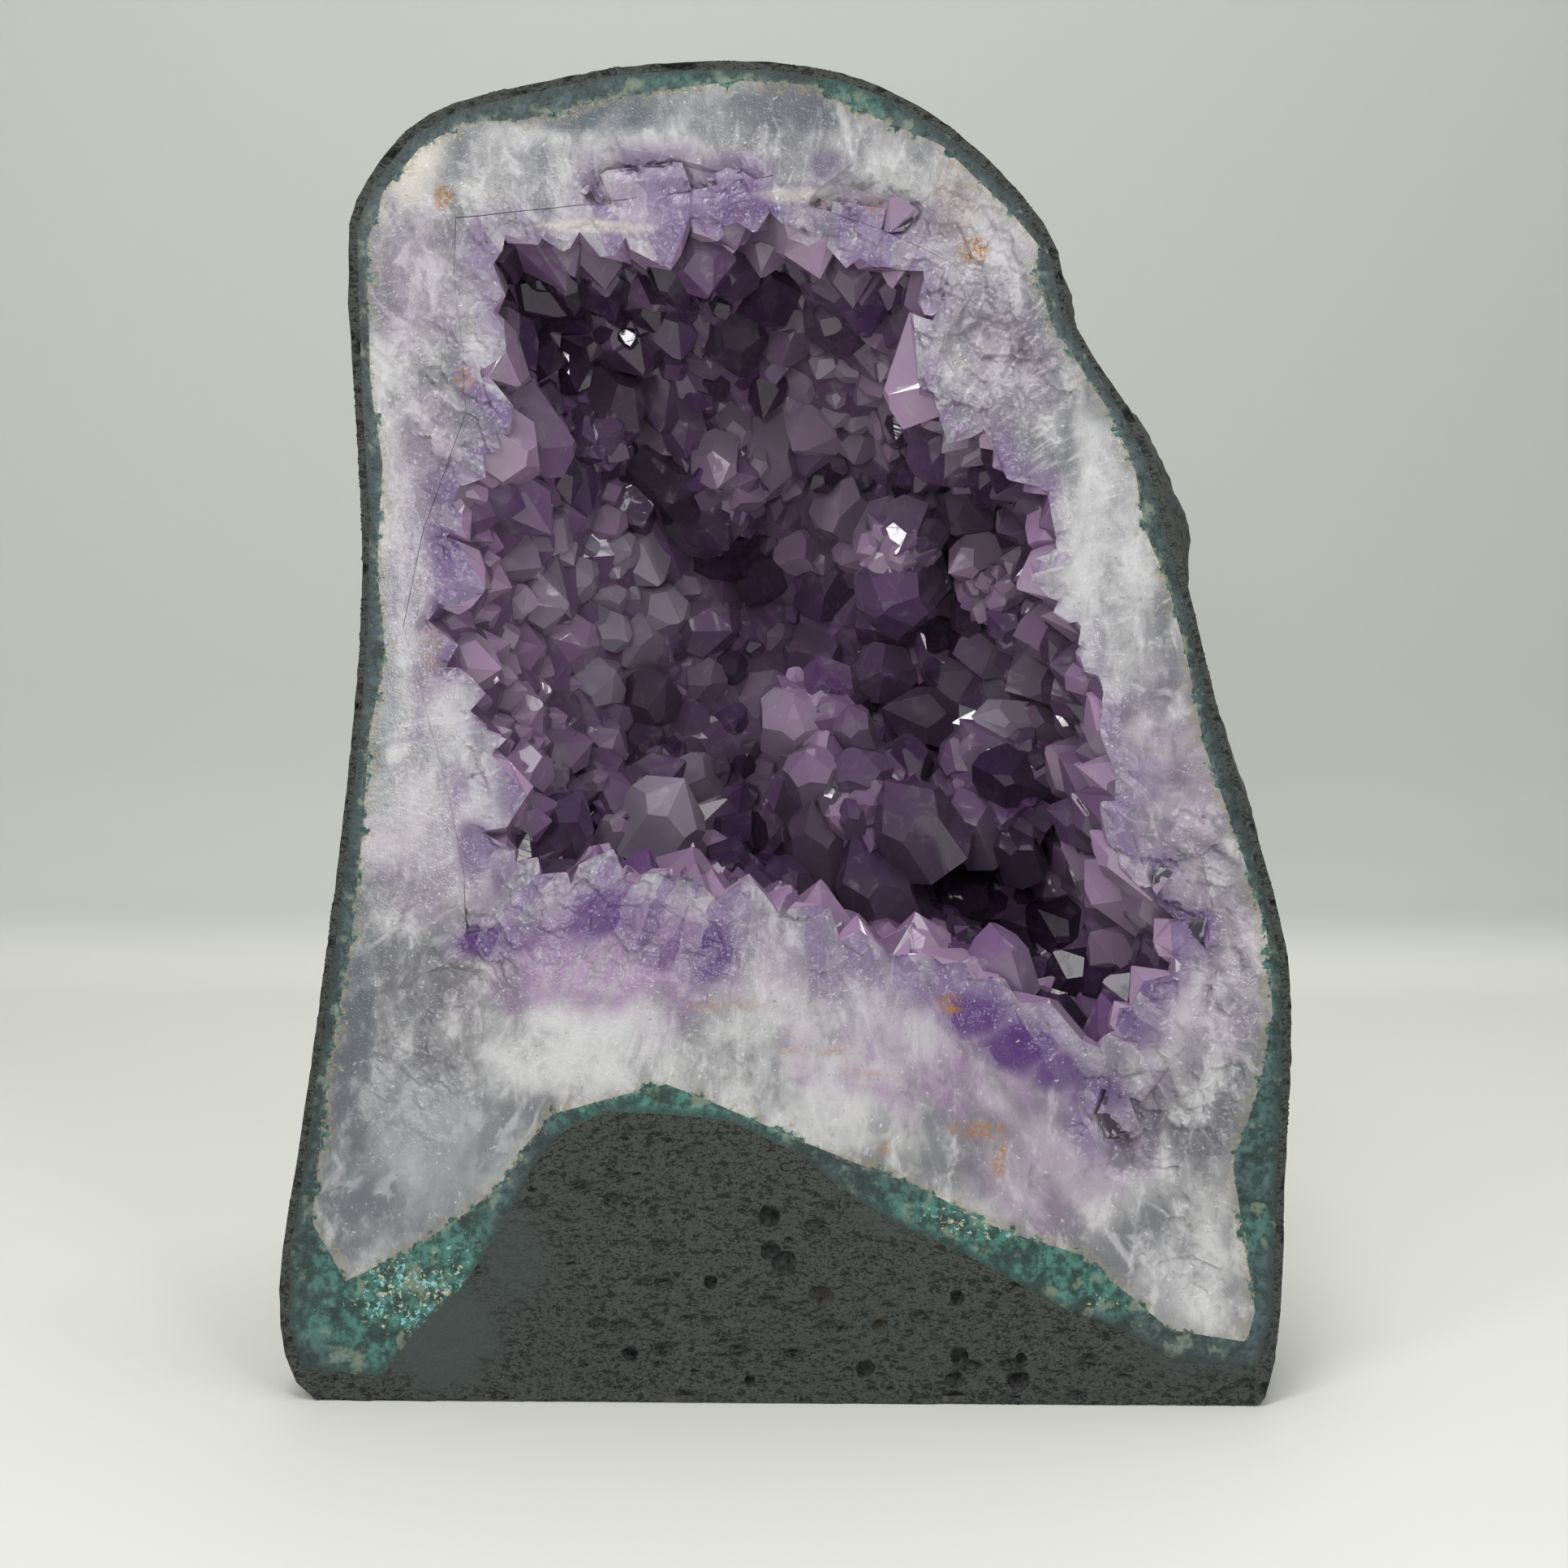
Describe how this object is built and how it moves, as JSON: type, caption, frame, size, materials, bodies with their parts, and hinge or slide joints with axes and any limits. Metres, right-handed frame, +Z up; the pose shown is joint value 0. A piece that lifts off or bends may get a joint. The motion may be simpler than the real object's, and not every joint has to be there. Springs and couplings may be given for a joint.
{
  "type": "amethyst cathedral geode",
  "caption": "Free-standing half geode with a flat sawn base, a polished quartz front with a green rind, and a deep hollow lined with amethyst crystals.",
  "frame": {"origin": "middle of the footprint box, on the flat sawn base", "axes": "+Z up, +X to the right seen from the front, and the polished front faces -Y and leans back a little"},
  "size_m": [0.186, 0.1236, 0.2396],
  "materials": {
    "basalt": "matt, rough and pitted on the skin, sawn on the front and the base",
    "celadonite": "polished on the front, mottled green",
    "quartz": "polished, cloudy white to lilac, slightly see-through",
    "amethyst": "natural glossy crystal faces, clear to cloudy violet"
  },
  "bodies": {
    "root": {"basalt_matrix": "basalt", "celadonite_rind": "celadonite", "quartz_wall": "quartz", "amethyst_crust": "amethyst"}
  },
  "joints": []
}
